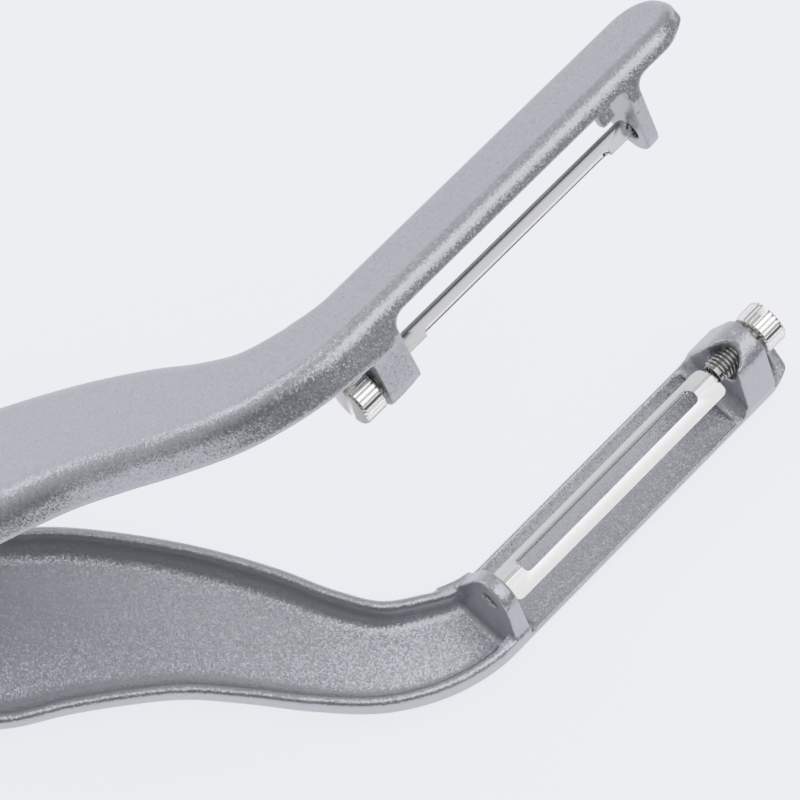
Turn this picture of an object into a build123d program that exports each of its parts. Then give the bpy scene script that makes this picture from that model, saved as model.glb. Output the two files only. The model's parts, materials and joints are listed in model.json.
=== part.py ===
"""Tong peeler: two cast channel arms, hinged at the back, each with a swivelling slotted blade.

Millimetres. The lower arm lies on its flat back, which is the plane Z = 0. The blades run along Y.
The origin is on the lower arm's back, under the root of the lower blade. Both arms are drawn lying
down like the lower one, and the upper arm, with what it carries, is mirrored about the plane
through the hinge pin that stands at half the opening angle.
"""

import os
from math import cos, degrees, radians, sin, sqrt, tan

from build123d import *

# Opening of the two arms, as they stand at rest
open_angle = 46.0

# Cast arm: handle, from the blades back to the hinge
handle_reach = 102.4
handle_drop = 80.4
handle_width = 37.0
handle_depth = 8.0
handle_corner = 5.0
handle_wall = 2.2
handle_web = 2.0

# Cast arm: shallow straight tray under the blade
tray_width = 15.6
tray_depth = 3.9
tray_corner = 2.6
tray_wall = 2.2
tray_web = 1.8
tray_end_radius = 6.0
lower_tray_end = 73.2
upper_tray_end = 80.2

# Hinge at the back of the handles
rear_width = 34.0
rear_length = 9.2
rear_front = 8.4
rear_end_radius = 8.0
ear_radius = 5.2
ear_side_gap = 0.3
ear_swing_gap = 0.3
inner_ear_thickness = 2.2
inner_ear_foot_front = 8.0
inner_ear_foot_back = 3.0
stop_gap = 0.1

pin_radius = 2.0
pin_running_gap = 0.05
pin_head_radius = 3.5
pin_head_height = 1.3
pin_head_edge = 0.9
pin_head_gap = 0.05

# Torsion spring on the hinge pin
spring_wire = 1.3
spring_web_gap = 0.3
spring_pitch = 1.9
spring_full_turns = 5
spring_wire_sides = 8
spring_leg = 15.0

# Blade axis above the handle rim, and the uprights that hold the blade
axis_above_rim = 6.3
near_lug_thickness = 3.0
near_lug_top_radius = 4.7
near_lug_draft = 0.9
near_lug_foot_radius = 1.2
tip_lug_thickness = 2.6
tip_lug_top_radius = 4.4
lower_boss_thickness = 5.8
upper_boss_thickness = 6.8
boss_top_radius = 4.9
upright_shoulder = 6.6
upright_root_radius = 3.0
tip_lug_foot_radius = 1.2
boss_foot_radius = 0.4
tongue_hole_radius = 1.8
boss_recess_radius = 3.6
boss_recess_depth = 3.7

# Post on the rim of the upper tray, beside the tip end of its blade
post_length = 3.1
post_height = 2.5
post_setback = 3.4

# Blade: bent strip with a long slot, and a tongue at each end that turns in the arm
blade_slot_length = 45.2
blade_tab_length = 4.9
blade_tongue_length = 2.5
blade_thickness = 0.6
blade_slope = 32.0
blade_strip = 2.6
blade_near_slot = 1.8
blade_far_slot = 2.2
blade_slot_corner = 1.1
blade_tab_corner = 1.6
blade_ridge_above_axis = 0.75
tongue_running_gap = 0.08
blade_end_gap = 0.3
lower_blade_tilt = -17.0
upper_blade_tilt = 42.0

# Adjusting screw: hollow end for the tongue, smooth core, slotted and knurled head
screw_radius = 2.5
screw_running_gap = 0.05
screw_bore_radius = 1.8
screw_bore_depth = 3.2
screw_end_chamfer = 0.3
lower_screw_reach = 3.8
upper_screw_reach = 0.5
screw_neck_length = 0.6
head_radius = 4.35
head_length = 4.7
head_slot_width = 1.2
head_slot_depth = 1.9
head_edge = 0.35
knurl_count = 28
knurl_depth = 0.28

# The channel's back, web and rim are drawn past their planes by this much, and cut flat
flat_allowance = 0.02

# One overrun serves all cuts
overrun = 1.0

# Places worked out from the sizes
axis_height = handle_depth + axis_above_rim
hinge_x = -handle_reach
hinge_y = -handle_drop
hinge_z = handle_depth
half_open = open_angle / 2
rear_inner = rear_width / 2 - handle_wall
lug_front = -near_lug_thickness / 2
lug_back = near_lug_thickness / 2
blade_length = blade_slot_length + 2 * blade_tab_length

lower_blade_start = lug_back + blade_end_gap
lower_screw_end = lower_blade_start + blade_length + blade_end_gap
lower_boss_inner = lower_screw_end + lower_screw_reach
lower_boss_outer = lower_boss_inner + lower_boss_thickness

upper_boss_inner = upper_boss_thickness / 2
upper_boss_outer = -upper_boss_thickness / 2
upper_screw_end = upper_boss_inner + upper_screw_reach
upper_blade_start = upper_screw_end + blade_end_gap
upper_lug_inner = upper_blade_start + blade_length + blade_end_gap
upper_lug_outer = upper_lug_inner + tip_lug_thickness

mirror_plane = Plane(
    origin=(hinge_x, hinge_y, hinge_z),
    z_dir=(-sin(radians(half_open)), 0, cos(radians(half_open))),
)

# Handle stations from the hinge to the blade: shares of reach and drop for the middle of the
# channel, its heading in degrees from X, and shares of the handle's width and corner radius
handle_shares = (
    (0.840, 0.977, 16.0, 0.962, 1.00),
    (0.762, 0.933, 29.0, 1.000, 1.00),
    (0.684, 0.861, 40.5, 1.000, 1.00),
    (0.612, 0.770, 47.0, 0.965, 1.00),
    (0.532, 0.662, 46.0, 0.892, 1.00),
    (0.450, 0.566, 40.5, 0.805, 0.97),
    (0.361, 0.484, 33.5, 0.722, 0.93),
    (0.254, 0.405, 30.5, 0.638, 0.87),
    (0.161, 0.331, 37.0, 0.576, 0.80),
    (0.083, 0.238, 50.5, 0.524, 0.70),
    (0.033, 0.139, 66.0, 0.478, 0.61),
    (0.007, 0.050, 80.0, 0.442, 0.55),
)


def section_plane(x, y, heading):
    """Upright plane across the channel at x, y, with its local Y upwards."""
    turn = radians(heading)
    return Plane(origin=(x, y, 0), x_dir=(-sin(turn), cos(turn), 0), z_dir=(cos(turn), sin(turn), 0))


def cross_plane(y, facing=1):
    """Upright plane across the blade axis at y, facing along Y, or back along it."""
    return Plane(origin=(0, y, axis_height), x_dir=(facing, 0, 0), z_dir=(0, -facing, 0))


def handle_stations():
    """Plane, width and corner radius of each section along the handle."""
    stations = [(section_plane(hinge_x + rear_front, hinge_y, 0), rear_width, handle_corner)]
    for reach, drop, heading, width, corner in handle_shares:
        place = section_plane(-reach * handle_reach, -drop * handle_drop, heading)
        stations.append((place, width * handle_width, corner * handle_corner))
    stations.append((section_plane(0, lug_back, 90), tray_width, tray_corner))
    return stations


def channel_form(inset, low, top, corner_drop):
    """Curved handle as a solid between two heights, drawn in by inset, with its lower edges rounded."""
    with BuildPart() as form:
        for place, width, corner in handle_stations():
            with BuildSketch(place) as section:
                with Locations((0, low - flat_allowance)):
                    Rectangle(width - 2 * inset, top + overrun - low, align=(Align.CENTER, Align.MIN))
                fillet(section.vertices().group_by(Axis.Y)[0], corner - corner_drop)
        loft()
        split(bisect_by=Plane.XY.offset(low))
        split(bisect_by=Plane.XY.offset(top), keep=Keep.BOTTOM)
    return form.part


def rear_block(inset, low, high, corner):
    """Straight back end of the handle round the hinge, drawn in by inset."""
    length = rear_front + rear_length - inset
    with BuildPart() as block:
        with BuildSketch(Plane.XY.offset(low - flat_allowance)) as plan:
            with Locations((hinge_x + rear_front, hinge_y)):
                Rectangle(length, rear_width - 2 * inset, align=(Align.MAX, Align.CENTER))
            fillet(plan.vertices().group_by(Axis.X)[0], rear_end_radius - inset)
        extrude(amount=high - low + flat_allowance)
        fillet(block.edges().group_by(Axis.Z)[0].sort_by(Axis.X)[:-1], corner)
        split(bisect_by=Plane.XY.offset(low))
    return block.part


def tray_block(end, inset, low, high, corner):
    """Straight tray from the near upright to its rounded end, drawn in by inset."""
    with BuildPart() as block:
        with BuildSketch(Plane.XY.offset(low - flat_allowance)) as plan:
            with Locations((0, lug_back)):
                Rectangle(
                    tray_width - 2 * inset, end - inset - lug_back, align=(Align.CENTER, Align.MIN)
                )
            fillet(plan.vertices().group_by(Axis.Y)[-1], tray_end_radius - inset)
        extrude(amount=high - low + flat_allowance)
        fillet(block.edges().group_by(Axis.Z)[0].sort_by(Axis.Y)[1:], corner)
        split(bisect_by=Plane.XY.offset(low))
    return block.part


def cast_channel(tray_end):
    """Channel of one arm, lying on its back: hinge end, curved handle and tray."""
    top = handle_depth + overrun
    with BuildPart() as channel:
        add(channel_form(0, 0, handle_depth, 0))
        add(rear_block(0, 0, handle_depth, handle_corner))
        add(tray_block(tray_end, 0, 0, tray_depth, tray_corner))
        add(channel_form(handle_wall, handle_web, top, handle_web / 2), mode=Mode.SUBTRACT)
        add(
            rear_block(handle_wall, handle_web, top, handle_corner - handle_web / 2),
            mode=Mode.SUBTRACT,
        )
        add(
            tray_block(tray_end, tray_wall, tray_web, tray_depth + overrun, tray_web / 2),
            mode=Mode.SUBTRACT,
        )
        # The rims behind the pin slope down, and meet those of the other arm when it is wide open
        with BuildSketch(Plane.XZ.offset(-hinge_y)) as slope:
            with BuildLine():
                drop = (rear_length + overrun) * tan(radians(half_open))
                near = (hinge_x, hinge_z - stop_gap)
                far = (hinge_x - rear_length - overrun, hinge_z - stop_gap - drop)
                Polyline(near, far, (far[0], hinge_z + overrun), (hinge_x, hinge_z + overrun), close=True)
            make_face()
        extrude(amount=rear_width, both=True, mode=Mode.SUBTRACT)
    return channel.part


def upright(front, back, top_radius, front_foot, back_foot):
    """Wall across the tray that holds one end of the blade, rounded over the blade axis.

    Each foot is its height, its radius, and how far the face leans out above it.
    """
    front_height, front_radius, front_lean = front_foot
    back_height, back_radius, back_lean = back_foot
    top = axis_height + top_radius
    front_face = front - front_lean
    back_face = back + back_lean
    with BuildPart() as wall:
        with BuildSketch(Plane.YZ) as side:
            with BuildLine():
                Line((front, top), (front_face, front_height + front_radius))
                RadiusArc(
                    (front_face, front_height + front_radius),
                    (front_face - front_radius, front_height),
                    front_radius,
                )
                Polyline(
                    (front_face - front_radius, front_height),
                    (front_face - front_radius, 0),
                    (back_face + back_radius, 0),
                    (back_face + back_radius, back_height),
                )
                RadiusArc(
                    (back_face + back_radius, back_height),
                    (back_face, back_height + back_radius),
                    back_radius,
                )
                Polyline((back_face, back_height + back_radius), (back, top), (front, top))
            make_face()
        extrude(amount=tray_width / 2, both=True)
        with BuildSketch(Plane.XZ) as arch:
            with Locations((0, axis_height)):
                Circle(top_radius)
            with Locations((0, tray_depth)):
                Rectangle(tray_width, upright_shoulder - tray_depth, align=(Align.CENTER, Align.MIN))
            make_hull()
            with Locations((0, tray_web / 2)):
                Rectangle(tray_width - tray_wall, tray_depth, align=(Align.CENTER, Align.MIN))
        extrude(amount=upper_tray_end, both=True, mode=Mode.INTERSECT)
    return wall.part


def boss_cuts(inner, outer, facing):
    """Bore for the adjusting screw, and the pocket open to the blade round the screw's end."""
    with BuildPart() as cuts:
        with BuildSketch(cross_plane(outer, facing)):
            Circle(screw_radius + screw_running_gap)
        extrude(amount=abs(outer - inner) + overrun, both=True)
        with BuildSketch(cross_plane(inner, -facing)):
            Circle(boss_recess_radius)
            Rectangle(2 * boss_recess_radius, axis_height, align=(Align.CENTER, Align.MIN))
        extrude(amount=boss_recess_depth)
        with BuildSketch(cross_plane(inner, facing)):
            Circle(boss_recess_radius)
            Rectangle(2 * boss_recess_radius, axis_height, align=(Align.CENTER, Align.MIN))
        extrude(amount=upright_root_radius)
    return cuts.part


def blade_leaf(start, slot, side):
    """One flat leaf of the blade, from the ridge outwards: side 1 is towards X, side -1 away."""
    slope = radians(blade_slope)
    ridge = axis_height + blade_ridge_above_axis
    leaf_plane = Plane(
        origin=(0, start + blade_length / 2, ridge),
        x_dir=(side * cos(slope), 0, -sin(slope)),
        z_dir=(side * sin(slope), 0, cos(slope)),
    )
    hole = tongue_hole_radius - tongue_running_gap
    rise = blade_ridge_above_axis
    tongue_half = rise * sin(slope) + sqrt(hole**2 - (rise * cos(slope)) ** 2)
    with BuildPart() as leaf:
        with BuildSketch(leaf_plane) as outline:
            Rectangle(slot + blade_strip, blade_length, align=(Align.MIN, Align.CENTER))
            fillet(outline.vertices().group_by(Axis.X)[-1], blade_tab_corner)
            Rectangle(
                tongue_half, blade_length + 2 * blade_tongue_length, align=(Align.MIN, Align.CENTER)
            )
            RectangleRounded(2 * slot, blade_slot_length, blade_slot_corner, mode=Mode.SUBTRACT)
        extrude(amount=-blade_thickness)
    return leaf.part


def swivel_blade(start, tilt):
    """Blade from start along Y, swung by tilt about its axis."""
    with BuildPart() as blade:
        add(blade_leaf(start, blade_near_slot, 1))
        add(blade_leaf(start, blade_far_slot, -1))
    return blade.part.rotate(Axis((0, 0, axis_height), (0, 1, 0)), tilt)


def adjusting_screw(end, head_start, facing):
    """Screw from its hollow end to its knurled head; facing 1 has the head towards Y."""
    core = abs(head_start - end)
    with BuildPart() as screw:
        with BuildSketch(cross_plane(head_start, -facing)) as head:
            Circle(head_radius)
            with PolarLocations(head_radius, knurl_count):
                RegularPolygon(knurl_depth, 4, mode=Mode.SUBTRACT)
        extrude(amount=head_length)
        head_plane = Plane(origin=(0, head_start, axis_height), x_dir=(1, 0, 0), z_dir=(0, 0, facing))
        with BuildSketch(head_plane) as turned_outline:
            Rectangle(head_radius, head_length, align=(Align.MIN, Align.MIN))
            chamfer(turned_outline.vertices().group_by(Axis.X)[-1], head_edge)
        revolve(axis=Axis((0, 0, axis_height), (0, 1, 0)), mode=Mode.INTERSECT)
        with BuildSketch(cross_plane(end, -facing)):
            Circle(screw_radius)
        extrude(amount=core)
        chamfer(screw.edges().sort_by(Axis.Y)[0 if facing > 0 else -1], screw_end_chamfer)
        with BuildSketch(cross_plane(end, -facing)):
            Circle(screw_bore_radius)
        extrude(amount=screw_bore_depth, mode=Mode.SUBTRACT)
        with BuildSketch(cross_plane(head_start + facing * head_length, facing)):
            Rectangle(2 * (head_radius + overrun), head_slot_width)
        extrude(amount=head_slot_depth, mode=Mode.SUBTRACT)
    return screw.part


def helix_point(turn, start_y):
    """Point of the spring's middle line, turn radians back from its lower end, and its heading."""
    angle = radians(-90) - turn
    radius = spring_mean_radius
    rise = spring_pitch / radians(360)
    point = Vector(
        hinge_x + radius * cos(angle), start_y + rise * turn, hinge_z + radius * sin(angle)
    )
    heading = Vector(radius * sin(angle), rise, -radius * cos(angle)).normalized()
    return point, heading


os.makedirs("parts", exist_ok=True)

# Lower arm: outer ears at the hinge, thin lug at the handle end, screw boss at the tip
with BuildPart() as lower_arm:
    add(cast_channel(lower_tray_end))
    add(
        upright(
            lug_front,
            lug_back,
            near_lug_top_radius,
            (handle_web, near_lug_foot_radius, near_lug_draft),
            (tray_depth, upright_root_radius / 2, 0),
        )
    )
    add(
        upright(
            lower_boss_inner,
            lower_boss_outer,
            boss_top_radius,
            (tray_depth, upright_root_radius, 0),
            (tray_depth, boss_foot_radius, 0),
        )
    )
    with BuildSketch(cross_plane(lug_back, 1)):
        Circle(tongue_hole_radius)
    extrude(amount=near_lug_thickness + near_lug_draft, mode=Mode.SUBTRACT)
    add(boss_cuts(lower_boss_inner, lower_boss_outer, 1), mode=Mode.SUBTRACT)
    with BuildSketch(Plane.XZ.offset(-hinge_y)) as ear_profile:
        with Locations((hinge_x, hinge_z)):
            Circle(ear_radius)
        with Locations((hinge_x, handle_corner)):
            Rectangle(
                2 * (ear_radius + overrun),
                handle_corner,
                align=(Align.CENTER, Align.MAX),
                mode=Mode.SUBTRACT,
            )
    extrude(amount=rear_width / 2, both=True)
    with BuildSketch(Plane.XZ.offset(-hinge_y)):
        with Locations((hinge_x, hinge_z)):
            Circle(ear_radius + ear_swing_gap)
    extrude(amount=rear_inner, both=True, mode=Mode.SUBTRACT)
    with BuildSketch(Plane.XZ.offset(-hinge_y)):
        with Locations((hinge_x, hinge_z)):
            Circle(pin_radius + pin_running_gap)
    extrude(amount=rear_width, both=True, mode=Mode.SUBTRACT)
lower_arm.part.label = "lower_arm"
export_step(lower_arm.part, "parts/lower_arm.step")

# Upper arm: inner ears at the hinge, screw boss at the handle end, thin lug near the tip
ear_outer = rear_inner - ear_side_gap
ear_inner = ear_outer - inner_ear_thickness
with BuildPart() as upper_arm:
    add(cast_channel(upper_tray_end))
    add(
        upright(
            upper_boss_outer,
            upper_boss_inner,
            boss_top_radius,
            (handle_web, near_lug_foot_radius, 0),
            (tray_depth, upright_root_radius, 0),
        )
    )
    add(
        upright(
            upper_lug_inner,
            upper_lug_outer,
            tip_lug_top_radius,
            (tray_depth, tip_lug_foot_radius, 0),
            (tray_depth, upright_root_radius, 0),
        )
    )
    with BuildSketch(Plane.XY.offset(tray_corner)):
        with Locations((tray_width / 2, upper_lug_inner - post_setback)):
            Rectangle(tray_wall, post_length, align=(Align.MAX, Align.MAX))
    extrude(amount=tray_depth - tray_corner + post_height)
    with BuildSketch(cross_plane(upper_lug_inner, -1)):
        Circle(tongue_hole_radius)
    extrude(amount=blade_tongue_length, mode=Mode.SUBTRACT)
    add(boss_cuts(upper_boss_inner, upper_boss_outer, -1), mode=Mode.SUBTRACT)
    with BuildSketch(Plane.XZ.offset(-hinge_y)):
        with Locations((hinge_x, hinge_z)):
            Circle(ear_radius + ear_swing_gap)
    extrude(amount=rear_width, both=True, mode=Mode.SUBTRACT)
    with BuildSketch(Plane.XZ.offset(-hinge_y)) as neck:
        with Locations((hinge_x, hinge_z)):
            Circle(ear_radius)
        with Locations((hinge_x - inner_ear_foot_back, handle_web / 2)):
            Rectangle(
                inner_ear_foot_front + inner_ear_foot_back,
                handle_web / 2,
                align=(Align.MIN, Align.MIN),
            )
        make_hull()
    extrude(amount=ear_outer, both=True)
    with BuildSketch(Plane.XZ.offset(-hinge_y)):
        with Locations((hinge_x + inner_ear_foot_front + overrun, handle_web)):
            Rectangle(
                inner_ear_foot_front + ear_radius + 2 * overrun,
                handle_depth + ear_radius,
                align=(Align.MAX, Align.MIN),
            )
    extrude(amount=ear_inner, both=True, mode=Mode.SUBTRACT)
    with BuildSketch(Plane.XZ.offset(-hinge_y)):
        with Locations((hinge_x, hinge_z)):
            Circle(pin_radius + pin_running_gap)
    extrude(amount=rear_width, both=True, mode=Mode.SUBTRACT)
    mirror(about=mirror_plane, mode=Mode.REPLACE)
upper_arm.part.label = "upper_arm"
export_step(upper_arm.part, "parts/upper_arm.step")

# Blades
with BuildPart() as lower_blade:
    add(swivel_blade(lower_blade_start, lower_blade_tilt))
lower_blade.part.label = "lower_blade"
export_step(lower_blade.part, "parts/lower_blade.step")

with BuildPart() as upper_blade:
    add(swivel_blade(upper_blade_start, upper_blade_tilt))
    mirror(about=mirror_plane, mode=Mode.REPLACE)
upper_blade.part.label = "upper_blade"
export_step(upper_blade.part, "parts/upper_blade.step")

# Adjusting screws
with BuildPart() as lower_screw:
    add(adjusting_screw(lower_screw_end, lower_boss_outer + screw_neck_length, 1))
lower_screw.part.label = "lower_screw"
export_step(lower_screw.part, "parts/lower_screw.step")

with BuildPart() as upper_screw:
    add(adjusting_screw(upper_screw_end, upper_boss_outer - screw_neck_length, -1))
    mirror(about=mirror_plane, mode=Mode.REPLACE)
upper_screw.part.label = "upper_screw"
export_step(upper_screw.part, "parts/upper_screw.step")

# Hinge pin with a domed head at each end
with BuildPart() as hinge_pin:
    with BuildSketch(Plane.XZ.offset(-hinge_y)):
        with Locations((hinge_x, hinge_z)):
            Circle(pin_radius)
    extrude(amount=rear_width / 2 + pin_head_gap, both=True)
    for facing in (1, -1):
        head_face = hinge_y + facing * (rear_width / 2 + pin_head_gap)
        with BuildSketch(Plane(origin=(hinge_x, head_face, hinge_z), z_dir=(0, facing, 0))):
            Circle(pin_head_radius)
        extrude(amount=pin_head_height)
    fillet(hinge_pin.edges().group_by(Axis.Y)[0], pin_head_edge)
    fillet(hinge_pin.edges().group_by(Axis.Y)[-1], pin_head_edge)
hinge_pin.part.label = "hinge_pin"
export_step(hinge_pin.part, "parts/hinge_pin.step")

# Torsion spring: one leg lies along each arm's web, and the coil goes round behind the pin
spring_mean_radius = handle_depth - handle_web - spring_wire / 2 - spring_web_gap
spring_turning = radians(360) * spring_full_turns + radians(180 - open_angle)
spring_rise = spring_pitch * degrees(spring_turning) / 360
spring_start = hinge_y - spring_rise / 2
quarter_steps = round(spring_turning / radians(90))
step_turn = spring_turning / quarter_steps
with BuildPart() as hinge_spring:
    with BuildLine() as coil:
        first, first_heading = helix_point(0, spring_start)
        Line(first - first_heading * spring_leg, first)
        for step in range(quarter_steps):
            near_point, near_heading = helix_point(step * step_turn, spring_start)
            far_point, far_heading = helix_point((step + 1) * step_turn, spring_start)
            span = far_point - near_point
            both_headings = near_heading + far_heading
            bend = 4 - both_headings.dot(both_headings)
            reach = span.dot(both_headings)
            handle = (sqrt(reach**2 + bend * span.dot(span)) - reach) / bend
            near_corner = near_point + near_heading * handle
            far_corner = far_point - far_heading * handle
            middle = (near_corner + far_corner) / 2
            TangentArc(near_point, middle, tangent=near_heading)
            TangentArc(middle, far_point, tangent=far_corner - near_corner)
        last, last_heading = helix_point(spring_turning, spring_start)
        Line(last, last + last_heading * spring_leg)
    leg_end = first - first_heading * spring_leg
    with BuildSketch(Plane(origin=leg_end, z_dir=first_heading)):
        RegularPolygon(spring_wire / 2, spring_wire_sides)
    sweep(path=coil.wires()[0])
hinge_spring.part.label = "hinge_spring"
export_step(hinge_spring.part, "parts/hinge_spring.step")

# Least gap of the spring to itself, measured on points of its middle line at least half a turn apart
points_per_turn = 24
point_turn = radians(360) / points_per_turn
middle_points = [
    helix_point(index * point_turn, spring_start)[0]
    for index in range(int(spring_turning / point_turn) + 1)
]
least_gap = min(
    (one - other).length - spring_wire
    for place, one in enumerate(middle_points)
    for other in middle_points[place + points_per_turn // 2 :]
)
print(f"spring: least gap to itself {least_gap:.2f} mm")
print(f"blade axis {axis_height:.2f} mm above the back, blades {blade_length:.1f} mm long")
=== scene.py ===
"""Studio scene of a two-arm vegetable peeler: cast arms, blades, adjusting screws and hinge.

Blender units are metres. Sizes in the functions below are in millimetres, and meshes are scaled
down as they are made. An arm is drawn lying on its back, like the lower one; the upper arm is
mirrored about the plane through the hinge pin at half the opening.
"""

import json
import math

import bmesh
import bpy
import numpy as np
from bpy.props import (
    FloatProperty,
    FloatVectorProperty,
    IntProperty,
    PointerProperty,
)
from mathutils import Matrix, Vector


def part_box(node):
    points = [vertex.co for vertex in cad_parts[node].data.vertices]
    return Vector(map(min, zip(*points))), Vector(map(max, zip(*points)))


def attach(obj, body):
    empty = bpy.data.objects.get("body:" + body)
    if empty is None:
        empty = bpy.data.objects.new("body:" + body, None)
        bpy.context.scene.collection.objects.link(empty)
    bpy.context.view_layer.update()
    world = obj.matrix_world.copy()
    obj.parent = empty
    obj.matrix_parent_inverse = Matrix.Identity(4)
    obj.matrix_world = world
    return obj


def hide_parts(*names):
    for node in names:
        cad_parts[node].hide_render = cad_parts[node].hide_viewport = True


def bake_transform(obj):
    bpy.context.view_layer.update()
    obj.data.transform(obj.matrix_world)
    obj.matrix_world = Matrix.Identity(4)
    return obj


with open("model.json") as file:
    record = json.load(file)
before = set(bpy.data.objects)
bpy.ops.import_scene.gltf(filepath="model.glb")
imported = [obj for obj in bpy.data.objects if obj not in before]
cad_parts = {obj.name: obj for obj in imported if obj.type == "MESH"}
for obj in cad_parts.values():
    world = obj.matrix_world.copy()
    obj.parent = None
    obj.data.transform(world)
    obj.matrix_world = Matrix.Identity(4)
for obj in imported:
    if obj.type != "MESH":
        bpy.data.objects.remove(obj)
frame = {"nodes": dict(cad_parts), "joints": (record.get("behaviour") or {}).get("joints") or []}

bl_info = {
    "name": "Tong Peeler",
    "version": (1, 0, 0),
    "blender": (4, 5, 0),
    "location": "View3D > Sidebar > Peeler",
    "description": "Builds a two-arm vegetable peeler with cast handles and swivelling blades",
    "category": "Object",
}

MM = 0.001
hinge = next(j for j in frame["joints"] if j["name"] == "arm_hinge")
HINGE = Vector(hinge["pos_m"]) / MM

# Middle of the channel (x, y), its heading from X in degrees, its width and its corner radius
HANDLE = np.array(
    [
        (-94.0, -80.4, 0.0, 34.0, 5.0),
        (-85.95, -78.75, 16.0, 35.6, 5.0),
        (-77.6, -75.6, 26.5, 37.0, 5.0),
        (-69.1, -70.3, 37.5, 37.2, 5.0),
        (-61.3, -63.2, 46.0, 36.8, 5.0),
        (-53.7, -54.0, 47.0, 34.2, 5.0),
        (-45.6, -46.1, 42.0, 31.0, 4.85),
        (-37.0, -38.9, 36.0, 27.7, 4.65),
        (-26.35, -32.0, 31.5, 24.8, 4.35),
        (-16.65, -26.4, 34.5, 21.9, 4.0),
        (-7.95, -19.55, 48.5, 19.6, 3.5),
        (-2.87, -11.45, 65.0, 18.3, 3.05),
        (-0.3, -4.1, 80.0, 16.35, 2.75),
        (0.0, 1.5, 90.0, 15.6, 2.6),
    ]
)

# Tray of the arm: half width, depth and web, where its side walls stand, and where the inner
# edge of its thin rim comes to lie
TRAY_HALF, TRAY_DEPTH, TRAY_WEB, TRAY_WALL_AT, TRAY_RIM_AT = 7.8, 3.9, 1.8, 5.6, 7.2

# The tray's end: where the CAD has it and its corner radius there, how far it is pulled in, the
# radius of its new outline, how far the boss stands forward, and the share by which it drops
TRAY_CORNER = 6.0
LOWER_TRAY_END = {
    "end": 73.2, "shift": 0.7, "end_radius": 6.8, "boss_forward": 1.6, "end_drop": 0.28
}
UPPER_TRAY_END = {
    "end": 80.2, "shift": 2.6, "end_radius": 7.8, "boss_forward": 0.0, "end_drop": 0.5
}

# Boss: height of the screw's axis over the arm's back, the radius of the boss round it, and how
# far the screw's end stands out of the lower and the upper one
BOSS_AXIS, BOSS_TOP = 14.3, 4.9
LOWER_SCREW_REACH, UPPER_SCREW_REACH = 3.8, 0.5

# Where the CAD tray starts on each arm, and how far in front of the hinge the CAD hinge end stops
LOWER_TRAY_FROM, UPPER_TRAY_FROM = -5.0, -6.5
REAR_FRONT = 9.6

# Triangles of a finished casting
CASTING_TRIANGLES = 190000

# Blade: tongue half width and length, how deep its root is notched, corners of the end tabs and
# of the slot, half width and slope of the bend, its height over the axis, and the creased groove
TONGUE_HALF, TONGUE_LENGTH, TONGUE_NOTCH = 1.72, 2.5, 0.28
TAB_CORNER, SLOT_CORNER = 1.5, 1.1
BEND_HALF, BEND_SLOPE, RIDGE_HEIGHT, CREASE_DEPTH = 0.45, 32, 0.75, 0.16

# Adjusting screw: depth of the thread, radius, mouth and depth of the hollow end, the length
# without thread at the tip and in all, and the radius of the thread's round ridge
THREAD_DEPTH, THREAD_FROM, THREAD_SHORTER, RIDGE_RADIUS = 0.38, 0.55, 1.3, 0.42
BORE_RADIUS, BORE_MOUTH, BORE_CHAMFER, BORE_DEPTH = 1.8, 1.92, 0.12, 3.2

# Light and dark tone, and lowest and highest roughness, of the bright steels
BRIGHT_STEELS = {
    # Nickel over turned steel: a warm white mirror
    "Bright nickel plate": (0xFBFAF7, 0xF0EFEB, 0.16, 0.26),
    # The same plate over a rolled thread, made darker all over as painted shade for the thread's
    # valleys
    "Nickel-plated thread with painted valley shade": (0xD2D1CE, 0x8E8D89, 0.1, 0.2),
    # Wire drawn through dies and left bare: greyer, with a softer gloss
    "Drawn spring steel": (0xB4B5B8, 0x94959A, 0.25, 0.4),
}


# Meshes


def mirror_matrix(opening):
    """Mirror in millimetres about the plane through the hinge at half the opening."""
    half = opening / 2
    normal = Vector((-math.sin(half), 0, math.cos(half)))
    flip = Matrix.Scale(-1, 4, normal)
    return Matrix.Translation(HINGE) @ flip @ Matrix.Translation(-HINGE)


def between(rows, count):
    """Rows spaced evenly along the path of their first two columns, on a smooth curve."""
    steps = np.linalg.norm(np.diff(rows[:, :2], axis=0), axis=1)
    along = np.concatenate([[0], np.cumsum(steps)])
    slopes = np.gradient(rows, along, axis=0)
    out = []
    for s in np.linspace(0, along[-1], count):
        i = min(np.searchsorted(along, s, side="right") - 1, len(rows) - 2)
        gap = along[i + 1] - along[i]
        t = (s - along[i]) / gap
        out.append(
            (2 * t**3 - 3 * t**2 + 1) * rows[i]
            + (t**3 - 2 * t**2 + t) * gap * slopes[i]
            + (-2 * t**3 + 3 * t**2) * rows[i + 1]
            + (t**3 - t**2) * gap * slopes[i + 1]
        )
    return np.array(out)


def arc(centre, radius, start, end, steps):
    """Points along an arc, angles in degrees."""
    turns = np.radians(np.linspace(start, end, steps))
    return [(centre[0] + radius * math.cos(a), centre[1] + radius * math.sin(a)) for a in turns]


def channel_profile(width, corner, depth, wall, web):
    """Closed U section of the channel: across, and up from the back."""
    half = width / 2
    inner = half - wall
    inner_corner = corner - web / 2
    rim = wall / 2
    points = [(-half, depth - rim)]
    points += arc((-half + corner, corner), corner, 180, 270, 14)
    points += [(x, 0) for x in np.linspace(-half + corner, half - corner, 9)[1:-1]]
    points += arc((half - corner, corner), corner, 270, 360, 14)
    points += arc((half - rim, depth - rim), rim, 0, 180, 9)
    points += arc((inner - inner_corner, web + inner_corner), inner_corner, 0, -90, 12)
    points += [
        (x, web) for x in np.linspace(inner - inner_corner, -inner + inner_corner, 9)[1:-1]
    ]
    points += arc((-inner + inner_corner, web + inner_corner), inner_corner, 270, 180, 12)
    points += arc((-half + rim, depth - rim), rim, 0, 180, 9)[:-1]
    return points


def new_object(name, mesh_data):
    """An object at the origin, with its place in its mesh."""
    made = bpy.data.objects.new(name, mesh_data)
    bpy.context.scene.collection.objects.link(made)
    return made


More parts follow.
